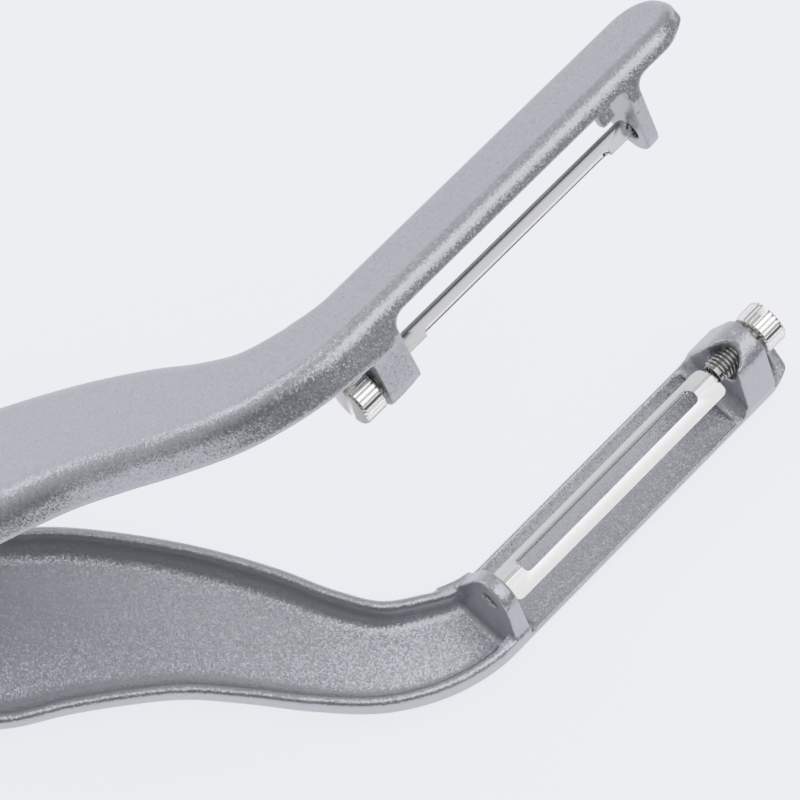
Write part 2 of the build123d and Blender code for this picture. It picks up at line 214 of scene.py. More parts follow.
def from_bmesh(name, bm):
    """A new object from a bmesh."""
    data = bpy.data.meshes.new(name)
    bm.to_mesh(data)
    bm.free()
    return new_object(name, data)


def handle_shell(sizes):
    """Curved part of the channel as a closed bmesh, in millimetres."""
    bm = bmesh.new()
    rings = []
    for x, y, heading, width, corner in between(HANDLE, 190):
        turn = math.radians(heading)
        across = Vector((-math.sin(turn), math.cos(turn), 0))
        ring = [
            bm.verts.new(Vector((x, y, 0)) + across * s + Vector((0, 0, z)))
            for s, z in channel_profile(
                width, corner, sizes.depth / MM, sizes.wall / MM, sizes.web / MM
            )
        ]
        rings.append(ring)
    count = len(rings[0])
    for near, far in zip(rings, rings[1:]):
        for i in range(count):
            j = (i + 1) % count
            bm.faces.new((near[i], near[j], far[j], far[i]))
    bm.faces.new(rings[0])
    bm.faces.new(reversed(rings[-1]))
    bmesh.ops.recalc_face_normals(bm, faces=bm.faces[:])
    return bm


def cad_piece(node, keep):
    """Merged copy of a CAD node in millimetres, cut off at planes (point, normal) and closed."""
    bm = bmesh.new()
    bm.from_mesh(frame["nodes"][node].data)
    bmesh.ops.scale(bm, vec=(1 / MM,) * 3, verts=bm.verts[:])
    bmesh.ops.remove_doubles(bm, verts=bm.verts[:], dist=1e-4)
    for point, normal in keep:
        cut = bmesh.ops.bisect_plane(
            bm,
            geom=bm.verts[:] + bm.edges[:] + bm.faces[:],
            plane_co=point,
            plane_no=normal,
            clear_inner=True,
        )
        edges = [e for e in cut["geom_cut"] if isinstance(e, bmesh.types.BMEdge)]
        if edges:
            bmesh.ops.triangle_fill(bm, edges=edges, use_beauty=True, use_dissolve=False)
    bmesh.ops.recalc_face_normals(bm, faces=bm.faces[:])
    return bm


def pocket_lining(screw, inset, facing):
    """Rounds the inner end of the pocket round an adjusting screw, up to the boss's outline."""
    low, high = (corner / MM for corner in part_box(screw))
    mouth = low.y + inset if facing > 0 else high.y - inset
    half, round_radius, round_centre = 3.9, 3.95, 1.7
    bottom, behind, under_top = 4.0, 4.2, 0.12
    bm = bmesh.new()
    rings = []
    for x in np.linspace(-half, half, 27):
        start = max(0.0, math.sqrt(round_radius**2 - x**2) - round_centre)
        top = BOSS_AXIS + math.sqrt(BOSS_TOP**2 - x**2) - under_top
        rings.append(
            [
                bm.verts.new((x, mouth + facing * y, z))
                for y, z in ((start, bottom), (behind, bottom), (behind, top), (start, top))
            ]
        )
    for near, far in zip(rings, rings[1:]):
        for i in range(4):
            j = (i + 1) % 4
            bm.faces.new((near[i], near[j], far[j], far[i]))
    bm.faces.new(rings[0])
    bm.faces.new(reversed(rings[-1]))
    bmesh.ops.recalc_face_normals(bm, faces=bm.faces[:])
    return bm


def dish(points, end, shift, end_radius, boss_forward, end_drop):
    """Shapes the tray of an arm on its back: a shallow dish with thin rims and a round end."""
    x, y, z = points.T.copy()
    side = np.abs(x)
    # The tray's shape fades in over its first 2 mm, and out over 0.7 mm above its rim
    starts, fades_in, fades_out = 1.0, 2.0, 0.7
    there = np.clip((y - starts) / fades_in, 0, 1)
    height = np.clip((z - TRAY_WEB) / (TRAY_DEPTH - TRAY_WEB), 0, 1)
    height = height * np.clip((TRAY_DEPTH + fades_out - z) / fades_out, 0, 1) * there
    # The walls lean out to thin rims
    spread = TRAY_RIM_AT - TRAY_WALL_AT
    flat = TRAY_WALL_AT - spread
    inner = flat + (side - flat) * (1 + height)
    outer = TRAY_HALF - (TRAY_HALF - side) * (1 - spread * height / (TRAY_HALF - TRAY_WALL_AT))
    wide = np.where(side < flat, side, np.where(side < TRAY_WALL_AT, inner, outer))
    # The floor rises to the walls, but the back stays flat, and the rim where it was
    lift, back, above_back, rim_from, rim_fades = 1.2, 0.9, 0.6, 7.0, 0.6
    rise = (np.minimum(side, TRAY_WALL_AT) / TRAY_WALL_AT) ** 2
    low = np.clip((z - back) / above_back, 0, 1)
    low = low * np.clip((TRAY_DEPTH - z) / (TRAY_DEPTH - TRAY_WEB), 0, 1)
    points[:, 2] = z + lift * rise * low * there * np.clip((rim_from - side) / rim_fades, 0, 1)
    # The end is pulled in over its last 15 mm, and its corners are drawn on to a rounder outline
    pulled, blunt = 15, 0.25
    reach = np.clip(TRAY_CORNER**2 - (y - end + TRAY_CORNER) ** 2, 0, None)
    was = np.where(y > end - TRAY_CORNER, TRAY_HALF - TRAY_CORNER + np.sqrt(reach), TRAY_HALF)
    y = y - shift * np.clip((y - end + pulled) / pulled, 0, 1)
    rounding = np.clip((y - end + shift + end_radius) / (end_radius + blunt), 0, 1)
    target = TRAY_HALF * np.sqrt(1 - rounding**2)
    points[:, 0] = np.sign(x) * wide * target / was
    points[:, 2] *= 1 - end_drop * rounding**2
    # The boss stands further forward over the tray, round the end of its screw
    boss_foot, foot_fades = 1.9, 1.5
    forward = boss_forward * np.interp(y, (52, 58, 61.2, 63.6), (0, 1, 1, 0))
    points[:, 1] = y - forward * np.clip((z - boss_foot) / foot_fades, 0, 1)
    return points


def apply_modifiers(piece):
    """Replaces a piece's mesh with its modified one."""
    evaluated = piece.evaluated_get(bpy.context.evaluated_depsgraph_get())
    data = bpy.data.meshes.new_from_object(evaluated)
    piece.modifiers.clear()
    piece.data = data


def smooth_faces(piece):
    """Shades a piece smooth."""
    piece.data.polygons.foreach_set("use_smooth", [True] * len(piece.data.polygons))


def smooth_by_angle(piece, degrees):
    """Shades smooth, but keeps edges sharper than an angle."""
    bm = bmesh.new()
    bm.from_mesh(piece.data)
    limit = math.radians(degrees)
    for face in bm.faces:
        face.smooth = True
    for edge in bm.edges:
        edge.smooth = not edge.is_manifold or edge.calc_face_angle(0) < limit
    bm.to_mesh(piece.data)
    bm.free()


def put_material(piece, material):
    """Gives the whole piece one material."""
    piece.data.materials.clear()
    piece.data.materials.append(material)


def turned(name, profile, centre, facing, steps=96):
    """Closed profile of (radius, along Y) points turned about Y through centre."""
    bm = bmesh.new()
    rings = []
    for k in range(steps):
        a = 2 * math.pi * k / steps
        rings.append(
            [
                bm.verts.new(
                    (
                        (centre[0] + r * math.cos(a)) * MM,
                        (centre[1] + facing * y) * MM,
                        (centre[2] + r * math.sin(a)) * MM,
                    )
                )
                for r, y in profile
            ]
        )
    for near, far in zip(rings, rings[1:] + rings[:1]):
        for i in range(len(profile) - 1):
            bm.faces.new((near[i], near[i + 1], far[i + 1], far[i]))
    bmesh.ops.remove_doubles(bm, verts=bm.verts[:], dist=1e-7)
    bmesh.ops.recalc_face_normals(bm, faces=bm.faces[:])
    return from_bmesh(name, bm)


# Node trees

MATH = "ShaderNodeMath"
VECTOR_MATH = "ShaderNodeVectorMath"


def put(tree, kind, links=(), **settings):
    """Adds a node with its settings, and joins or sets its inputs by name, number or order.

    A node given as an input stands for its first output.
    """
    made = tree.nodes.new(kind)
    for key, value in settings.items():
        setattr(made, key, value)
    for key, value in links.items() if isinstance(links, dict) else enumerate(links):
        socket = made.inputs[key]
        if isinstance(value, bpy.types.Node):
            value = value.outputs[0]
        if isinstance(value, bpy.types.NodeSocket):
            tree.links.new(value, socket)
        else:
            socket.default_value = value
    return made


def tree_with(name, inputs):
    """Geometry tree with named inputs, its input node, and a way to end it."""
    tree = bpy.data.node_groups.new(name, "GeometryNodeTree")
    for label, kind, default in inputs:
        socket = tree.interface.new_socket(label, in_out="INPUT", socket_type=kind)
        if default is not None:
            socket.default_value = default
    tree.interface.new_socket("Geometry", in_out="OUTPUT", socket_type="NodeSocketGeometry")
    return tree, tree.nodes.new("NodeGroupInput").outputs


def end_tree(tree, geometry, material):
    """Ends a geometry tree in real meshes with their material."""
    real = put(tree, "GeometryNodeRealizeInstances", (geometry,))
    finished = put(tree, "GeometryNodeSetMaterial", {"Geometry": real, "Material": material})
    put(tree, "NodeGroupOutput", (finished,))


def grow(name, tree, values):
    """Piece made by a geometry tree from named values, as a plain mesh."""
    piece = new_object(name, bpy.data.meshes.new(name))
    maker = piece.modifiers.new("maker", "NODES")
    maker.node_group = tree
    for item in tree.interface.items_tree:
        if item.in_out == "INPUT" and item.name in values:
            maker[item.identifier] = values[item.name]
    apply_modifiers(piece)
    return piece


def knurled_head_tree():
    """Head of an adjusting screw along Z: straight flutes, softened ends and a driver slot."""
    tree, given = tree_with(
        "Knurled head",
        [
            ("Radius", "NodeSocketFloat", 0.00435),
            ("Length", "NodeSocketFloat", 0.0047),
            ("Flutes", "NodeSocketInt", 28),
            ("Flute Depth", "NodeSocketFloat", 0.00024),
            ("Slot Width", "NodeSocketFloat", 0.0012),
            ("Slot Depth", "NodeSocketFloat", 0.0019),
            ("Place", "NodeSocketVector", None),
            ("Turn", "NodeSocketVector", None),
            ("Material", "NodeSocketMaterial", None),
        ],
    )

    # Vertices round one flute, how narrow a flute is, how near the side it stays, and the
    # length and depth over which both ends are softened
    flute_vertices, flute_power, side_power = 16.0, 12.0, 12.0
    end_length, end_depth = 0.0004, 0.0003
    body = put(
        tree,
        "GeometryNodeMeshCylinder",
        {
            "Vertices": put(tree, MATH, (given["Flutes"], flute_vertices), operation="MULTIPLY"),
            "Side Segments": 12,
            "Fill Segments": 6,
            "Radius": given["Radius"],
            "Depth": given["Length"],
        },
        fill_type="TRIANGLE_FAN",
    )
    parts = put(
        tree, "ShaderNodeSeparateXYZ", (put(tree, "GeometryNodeInputPosition"),)
    ).outputs
    flat = put(tree, "ShaderNodeCombineXYZ", {"X": parts["X"], "Y": parts["Y"]})
    outward = put(tree, VECTOR_MATH, (flat,), operation="NORMALIZE")
    reach = put(tree, VECTOR_MATH, (flat,), operation="LENGTH").outputs["Value"]
    # Flutes: a valley wherever the wave round the head peaks
    angle = put(tree, MATH, (parts["Y"], parts["X"]), operation="ARCTAN2")
    turns = put(tree, MATH, (angle, given["Flutes"]), operation="MULTIPLY")
    wave = put(tree, MATH, (turns,), operation="COSINE")
    wave = put(tree, MATH, (wave, 0.5, 0.5), operation="MULTIPLY_ADD")
    valley = put(tree, MATH, (wave, flute_power), operation="POWER")
    share = put(tree, MATH, (reach, given["Radius"]), operation="DIVIDE")
    share = put(tree, MATH, (share, side_power), operation="POWER")
    # Softened ends
    half = put(tree, MATH, (given["Length"], 0.5), operation="MULTIPLY")
    off_middle = put(tree, MATH, (parts["Z"],), operation="ABSOLUTE")
    from_end = put(tree, MATH, (half, off_middle), operation="SUBTRACT")
    edge = put(tree, MATH, (from_end, end_length), operation="DIVIDE")
    edge = put(tree, MATH, (edge, 1.0), operation="MINIMUM")
    edge = put(tree, MATH, (1.0, edge), operation="SUBTRACT")
    edge = put(tree, MATH, (edge, 2.0), operation="POWER")
    edge_drop = put(tree, MATH, (edge, end_depth), operation="MULTIPLY")
    drop = put(tree, MATH, (valley, given["Flute Depth"], edge_drop), operation="MULTIPLY_ADD")
    drop = put(tree, MATH, (drop, share), operation="MULTIPLY")
    inward = put(tree, MATH, (drop, -1.0), operation="MULTIPLY")
    offset = put(tree, VECTOR_MATH, {0: outward, "Scale": inward}, operation="SCALE")
    fluted = put(tree, "GeometryNodeSetPosition", {"Geometry": body, "Offset": offset})
    # Driver slot, right across the outer end
    slot_size = put(
        tree,
        "ShaderNodeCombineXYZ",
        {
            "X": put(tree, MATH, (given["Radius"], 3.0), operation="MULTIPLY"),
            "Y": given["Slot Width"],
            "Z": put(tree, MATH, (given["Slot Depth"], 2.0), operation="MULTIPLY"),
        },
    )
    slot = put(
        tree,
        "GeometryNodeTransform",
        {
            "Geometry": put(tree, "GeometryNodeMeshCube", {"Size": slot_size}),
            "Translation": put(tree, "ShaderNodeCombineXYZ", {"Z": half}),
        },
    )
    cut = put(
        tree,
        "GeometryNodeMeshBoolean",
        {"Mesh 1": fluted, "Mesh 2": slot},
        operation="DIFFERENCE",
        solver="EXACT",
    )
    placed = put(
        tree,
        "GeometryNodeTransform",
        {"Geometry": cut, "Translation": given["Place"], "Rotation": given["Turn"]},
    )
    end_tree(tree, placed, given["Material"])
    return tree


def thread_tree():
    """Screw thread along Z: one ridge wound round the core, closed at both ends."""
    tree, given = tree_with(
        "Screw thread",
        [
            ("Radius", "NodeSocketFloat", 0.0025),
            ("Pitch", "NodeSocketFloat", 0.0008),
            ("Length", "NodeSocketFloat", 0.01),
            ("Tooth", "NodeSocketFloat", 0.0004),
            ("Place", "NodeSocketVector", None),
            ("Turn", "NodeSocketVector", None),
            ("Material", "NodeSocketMaterial", None),
        ],
    )

    middle = put(tree, MATH, (given["Radius"], given["Tooth"]), operation="SUBTRACT")
    spiral = put(
        tree,
        "GeometryNodeCurveSpiral",
        {
            "Resolution": 48,
            "Rotations": put(tree, MATH, (given["Length"], given["Pitch"]), operation="DIVIDE"),
            "Start Radius": middle,
            "End Radius": middle,
            "Height": given["Length"],
        },
    )
    upright = put(tree, "GeometryNodeSetCurveNormal", {"Curve": spiral}, mode="Z_UP")
    tooth = put(
        tree, "GeometryNodeCurvePrimitiveCircle", {"Resolution": 12, "Radius": given["Tooth"]}
    )
    ridge = put(
        tree,
        "GeometryNodeCurveToMesh",
        {"Curve": upright, "Profile Curve": tooth, "Fill Caps": True},
    )
    placed = put(
        tree,
        "GeometryNodeTransform",
        {"Geometry": ridge, "Translation": given["Place"], "Rotation": given["Turn"]},
    )
    end_tree(tree, placed, given["Material"])
    return tree


# Materials


def linear(colour):
    """Linear RGBA of an sRGB colour written as a hex number."""
    shares = [((colour >> shift) & 255) / 255 for shift in (16, 8, 0)]
    return [c / 12.92 if c <= 0.04045 else ((c + 0.055) / 1.055) ** 2.4 for c in shares] + [1.0]


def new_material(name):
    """Empty material, its tree, and its Object coordinates."""
    made = bpy.data.materials.new(name)
    made.use_nodes = True
    made.node_tree.nodes.clear()
    where = put(made.node_tree, "ShaderNodeTexCoord").outputs["Object"]
    return made, made.node_tree, where


def end_material(tree, shader):
    """Joins a shader to the material's surface."""
    put(tree, "ShaderNodeOutputMaterial", {"Surface": shader})


def per_mm(size):
    """Pattern scale that repeats once in a size given in millimetres."""
    return 1 / (size * MM)


def silver_lacquered_casting():
    """Die-cast aluminium under silver lacquer: satin, with fine metal flakes over a cast skin."""
    made, tree, where = new_material("Silver-lacquered die-cast aluminium")
    # The lacquer's flakes are 0.05 mm; they are drawn 0.26 mm wide, so that they show as a sparkle
    flakes = put(
        tree, "ShaderNodeTexVoronoi", {"Vector": where, "Scale": per_mm(0.26), "Randomness": 1.0}
    )
    # The cast skin under it rolls gently, about 2 mm from crest to crest
    skin = put(
        tree, "ShaderNodeTexNoise", {"Vector": where, "Scale": per_mm(2.2), "Detail": 3.0}
    ).outputs["Fac"]
    grain = put(
        tree, "ShaderNodeTexNoise", {"Vector": where, "Scale": per_mm(0.38), "Detail": 2.0}
    ).outputs["Fac"]
    colour = put(
        tree,
        "ShaderNodeMix",
        {"Factor": grain, "A": linear(0xC2C3CA), "B": linear(0xD9DADD)},
        data_type="RGBA",
    )
    roughness = put(
        tree,
        "ShaderNodeMapRange",
        {"Value": grain, "From Min": 0.3, "From Max": 0.7, "To Min": 0.35, "To Max": 0.44},
    )
    rolled = put(
        tree, "ShaderNodeBump", {"Strength": 0.12, "Distance": 0.0001, "Height": skin}
    )
    pebbled = put(
        tree,
        "ShaderNodeBump",
        {"Strength": 0.3, "Distance": 0.00003, "Height": grain, "Normal": rolled},
    )
    # Each flake lies a little askew, so it catches light from its own direction
    tilt = 0.27
    centred = put(
        tree, VECTOR_MATH, (flakes.outputs["Color"], (0.5, 0.5, 0.5)), operation="SUBTRACT"
    )
    askew = put(
        tree, VECTOR_MATH, (centred, (tilt, tilt, tilt), pebbled), operation="MULTIPLY_ADD"
    )
    sparkled = put(tree, VECTOR_MATH, (askew,), operation="NORMALIZE")
    shader = put(
        tree,
        "ShaderNodeBsdfPrincipled",
        {
            "Base Color": colour.outputs["Result"],
            "Metallic": 0.95,
            "Roughness": roughness.outputs["Result"],
            "Normal": sparkled,
            "Coat Weight": 0.05,
            "Coat Roughness": 0.3,
        },
    )
    end_material(tree, shader)
    return made


def polished_blade_steel():
    """Hardened stainless strip, ground along its length and polished: nearly a mirror."""
    made, tree, where = new_material("Polished stainless strip steel")
    # Polishing lines run along the blade, 0.08 mm apart and 12 mm long
    stretched = put(
        tree,
        "ShaderNodeMapping",
        {"Vector": where, "Scale": (per_mm(0.08), per_mm(12.0), per_mm(0.08))},
    )
    lines = put(
        tree, "ShaderNodeTexNoise", {"Vector": stretched, "Scale": 1.0, "Detail": 2.0}
    ).outputs["Fac"]
    roughness = put(
        tree,
        "ShaderNodeMapRange",
        {"Value": lines, "From Min": 0.3, "From Max": 0.7, "To Min": 0.13, "To Max": 0.22},
    )
    colour = put(
        tree,
        "ShaderNodeMix",
        {"Factor": lines, "A": linear(0xD6D6D4), "B": linear(0xDFDFDD)},
        data_type="RGBA",
    )
    scored = put(
        tree, "ShaderNodeBump", {"Strength": 0.08, "Distance": 0.00001, "Height": lines}
    )
    shader = put(
        tree,
        "ShaderNodeBsdfPrincipled",
        {
            "Base Color": colour.outputs["Result"],
            "Metallic": 1.0,
            "Roughness": roughness.outputs["Result"],
            "Normal": scored,
        },
    )
    end_material(tree, shader)
    return made


def bright_steel(name):
    """A bright steel of the table, turned or drawn: a mirror with faint tool marks."""
    light, dark, low, high = BRIGHT_STEELS[name]
    made, tree, where = new_material(name)
    # The tool marks are finer than 0.1 mm; they are drawn 0.3 mm wide, so that they show
    marks = put(
        tree, "ShaderNodeTexNoise", {"Vector": where, "Scale": per_mm(0.3), "Detail": 3.0}
    ).outputs["Fac"]
    colour = put(
        tree,
        "ShaderNodeMix",
        {"Factor": marks, "A": linear(dark), "B": linear(light)},
        data_type="RGBA",
    )
    roughness = put(
        tree,
        "ShaderNodeMapRange",
        {"Value": marks, "From Min": 0.3, "From Max": 0.7, "To Min": low, "To Max": high},
    )
    shader = put(
        tree,
        "ShaderNodeBsdfPrincipled",
        {
            "Base Color": colour.outputs["Result"],
            "Metallic": 1.0,
            "Roughness": roughness.outputs["Result"],
        },
    )
    end_material(tree, shader)
    return made


def studio_acrylic(colour):
    """Pale satin acrylic table top, lit from below, which keeps the object's shadow."""
    made, tree, where = new_material("Satin white acrylic")
    clouds = put(
        tree, "ShaderNodeTexNoise", {"Vector": where, "Scale": per_mm(300.0), "Detail": 1.0}
    ).outputs["Fac"]
    roughness = put(
        tree,
        "ShaderNodeMapRange",
        {"Value": clouds, "To Min": 0.28, "To Max": 0.34},
    )
    surface = put(
        tree,
        "ShaderNodeBsdfPrincipled",
        {"Base Color": colour, "Roughness": roughness.outputs["Result"], "IOR": 1.45},
    )
    # The camera, gloss and glass see mostly the lit sheet, at the colour that is given
    glow = put(tree, "ShaderNodeEmission", {"Color": colour, "Strength": 1.0})
    lit_share = 0.8
    rays = put(tree, "ShaderNodeLightPath").outputs
    seen = put(tree, MATH, (rays["Is Camera Ray"], rays["Is Glossy Ray"]), operation="MAXIMUM")
    seen = put(tree, MATH, (seen, rays["Is Transmission Ray"]), operation="MAXIMUM")
    share = put(tree, MATH, (seen, lit_share), operation="MULTIPLY")
    end_material(tree, put(tree, "ShaderNodeMixShader", (share, surface, glow)))
    return made


def finish_of(name, maker):
    """The named material, made once."""
    return bpy.data.materials.get(name) or maker()


# Sizes and colours that a user may change


class ArmSizes(bpy.types.PropertyGroup):
    """Sizes of the cast arms."""

    opening: FloatProperty(
        name="Opening",
        description="Angle between the arms at rest",
        default=math.radians(46),
        subtype="ANGLE",
    )
    depth: FloatProperty(
        name="Handle depth",
        description="Height of the handle's rim over its back",
        default=0.008,
        unit="LENGTH",
    )
    wall: FloatProperty(
        name="Wall", description="Thickness of the channel's sides", default=0.0022, unit="LENGTH"
    )
    web: FloatProperty(
        name="Web", description="Thickness of the channel's back", default=0.002, unit="LENGTH"
    )
    grain: FloatProperty(
        name="Surface step",
        description="Size of the faces of the finished casting",
        default=0.00033,
        unit="LENGTH",
    )
    softening: IntProperty(
        name="Softening", description="How far cast edges are rounded", default=6, min=0
    )


class BladeSizes(bpy.types.PropertyGroup):
    """Sizes of the swivelling blades."""

    axis: FloatProperty(
        name="Axis height",
        description="Height of the blade axis over the arm's back",
        default=0.0143,
        unit="LENGTH",
    )
    length: FloatProperty(
        name="Length",
        description="Length of the blade without its tongues",
        default=0.055,
        unit="LENGTH",
    )
    slot: FloatProperty(
        name="Slot length", description="Length of the cutting slot", default=0.0452, unit="LENGTH"
    )
    near_slot: FloatProperty(
        name="Near slot", description="Slot width on the near leaf", default=0.0018, unit="LENGTH"
    )
    far_slot: FloatProperty(
        name="Far slot", description="Slot width on the far leaf", default=0.0022, unit="LENGTH"
    )
    strip: FloatProperty(
        name="Strip",
        description="Width of the steel beside the slot",
        default=0.0026,
        unit="LENGTH",
    )
    thickness: FloatProperty(
        name="Thickness", description="Thickness of the steel", default=0.0006, unit="LENGTH"
    )


class ScrewSizes(bpy.types.PropertyGroup):
    """Sizes of the adjusting screws."""

    head_radius: FloatProperty(
        name="Head radius", description="Radius over the flutes", default=0.00435, unit="LENGTH"
    )
    head_length: FloatProperty(
        name="Head length", description="Length of the knurled head", default=0.0047, unit="LENGTH"
    )
    flutes: IntProperty(name="Flutes", description="Flutes round the head", default=28, min=6)
    pitch: FloatProperty(
        name="Pitch", description="Rise of the thread in one turn", default=0.0008, unit="LENGTH"
    )
    slot_turn: FloatProperty(
        name="Driver slot",
        description="How far the driver slot is turned from the back of the arm",
        default=math.radians(-103),
        subtype="ANGLE",
    )
    radius: FloatProperty(
        name="Thread radius",
        description="Outer radius of the thread",
        default=0.0025,
        unit="LENGTH",
    )


class SpringSizes(bpy.types.PropertyGroup):
    """Sizes of the hinge spring."""

    wire: FloatProperty(
        name="Wire", description="Thickness of the wire", default=0.0013, unit="LENGTH"
    )
    radius: FloatProperty(
        name="Coil radius",
        description="Radius of the coil's middle line",
        default=0.00505,
        unit="LENGTH",
    )
    pitch: FloatProperty(
        name="Pitch", description="Distance from turn to turn", default=0.0019, unit="LENGTH"
    )
    turns: IntProperty(name="Turns", description="Whole turns of the coil", default=5, min=1)
    leg: FloatProperty(
        name="Leg", description="Length of each straight end", default=0.015, unit="LENGTH"
    )


class StudioSettings(bpy.types.PropertyGroup):
    """Table, light and camera."""

    table: FloatVectorProperty(
        name="Table",
        description="Colour of the table top",
        subtype="COLOR",
        size=4,
        default=linear(0xF5F6FA),
    )
    key: FloatProperty(
        name="Softbox", description="Power of the softbox overhead", default=17.5, unit="POWER"
    )
    fill: FloatProperty(
        name="Fill", description="Power of the softbox at the side", default=3.0, unit="POWER"
    )
    room: FloatProperty(name="Room", description="Brightness of the room", default=0.5)
    lens: FloatProperty(
        name="Lens", description="Focal length of the camera", default=212.35, unit="CAMERA"
    )


GROUPS = {
    "peeler_arms": ArmSizes,
    "peeler_blades": BladeSizes,
    "peeler_screws": ScrewSizes,
    "peeler_spring": SpringSizes,
    "peeler_studio": StudioSettings,
}


# Operators


def bright_finish(name):
    """A bright steel by its name in the table, made once."""
    return finish_of(name, lambda: bright_steel(name))


def make_arm(context, name, node, body, tray_from, tray_end, lining, mirrored):
    """Casting of one arm: smooth handle, CAD tray and hinge end, joined, dished and softened."""
    sizes = context.scene.peeler_arms
    move = mirror_matrix(sizes.opening) if mirrored else Matrix.Identity(4)
    shell = handle_shell(sizes)
    cut_tray, cut_rear = (
        (move @ Vector(point), move.to_3x3() @ Vector(kept_way))
        for point, kept_way in (
            ((0, tray_from, 0), (0, 1, 0)),
            ((HINGE.x + REAR_FRONT, 0, 0), (-1, 0, 0)),
        )
    )
    tray = cad_piece(node, [cut_tray])
    rear = cad_piece(node, [cut_rear])
    whole = bmesh.new()
    parts = ((shell, False), (lining, False), (tray, mirrored), (rear, mirrored))
    for part, lie_down in parts:
        if lie_down:
            part.transform(move.inverted())
            bmesh.ops.reverse_faces(part, faces=part.faces[:])
        data = bpy.data.meshes.new("part")
        part.to_mesh(data)
        part.free()
        whole.from_mesh(data)
        bpy.data.meshes.remove(data)
    arm = from_bmesh(name, whole)
    skin = arm.modifiers.new("skin", "REMESH")
    skin.mode = "VOXEL"
    skin.voxel_size = sizes.grain / MM
    apply_modifiers(arm)
    points = np.empty(len(arm.data.vertices) * 3)
    arm.data.vertices.foreach_get("co", points)
    points = dish(points.reshape(-1, 3), **tray_end)
    arm.data.vertices.foreach_set("co", points.ravel())
    soften = arm.modifiers.new("soften", "SMOOTH")
    soften.factor = 0.5
    soften.iterations = sizes.softening
    thin = arm.modifiers.new("thin", "DECIMATE")
    thin.ratio = min(1.0, CASTING_TRIANGLES / (2 * len(arm.data.polygons)))
    apply_modifiers(arm)
    arm.data.transform(Matrix.Scale(MM, 4) @ move)
    if mirrored:
        arm.data.flip_normals()
    smooth_faces(arm)
    put_material(
        arm, finish_of("Silver-lacquered die-cast aluminium", silver_lacquered_casting)
    )
    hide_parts(node)
    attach(arm, body)


class PEELER_OT_lower_arm(bpy.types.Operator):
    """Makes the lower arm's casting"""

    bl_idname = "peeler.lower_arm"
    bl_label = "Lower arm"

    def execute(self, context):
        make_arm(
            context,
            "lower_casting",
            "lower_arm",
            "lower_arm",
            LOWER_TRAY_FROM,
            LOWER_TRAY_END,
            pocket_lining("lower_screw", LOWER_SCREW_REACH, 1),
            False,
        )
        return {"FINISHED"}


class PEELER_OT_upper_arm(bpy.types.Operator):
    """Makes the upper arm's casting"""

    bl_idname = "peeler.upper_arm"
    bl_label = "Upper arm"

    def execute(self, context):
        make_arm(
            context,
            "upper_casting",
            "upper_arm",
            "upper_arm",
            UPPER_TRAY_FROM,
            UPPER_TRAY_END,
            pocket_lining("upper_screw", UPPER_SCREW_REACH, -1),
            True,
        )
        return {"FINISHED"}


def rounded(corners):
    """Outline of (x, y, radius) corners, each rounded; radius 0 keeps the corner."""
    points = []
    count = len(corners)
    for i, (x, y, radius) in enumerate(corners):
        here = Vector((x, y))
        if not radius:
            points.append(here)
            continue
        back = (Vector(corners[i - 1][:2]) - here).normalized()
        ahead = (Vector(corners[(i + 1) % count][:2]) - here).normalized()
        for t in np.linspace(0, 1, 9):
            points.append(
                here + back * radius * (1 - t) ** 2 + ahead * radius * t**2
            )
    return points


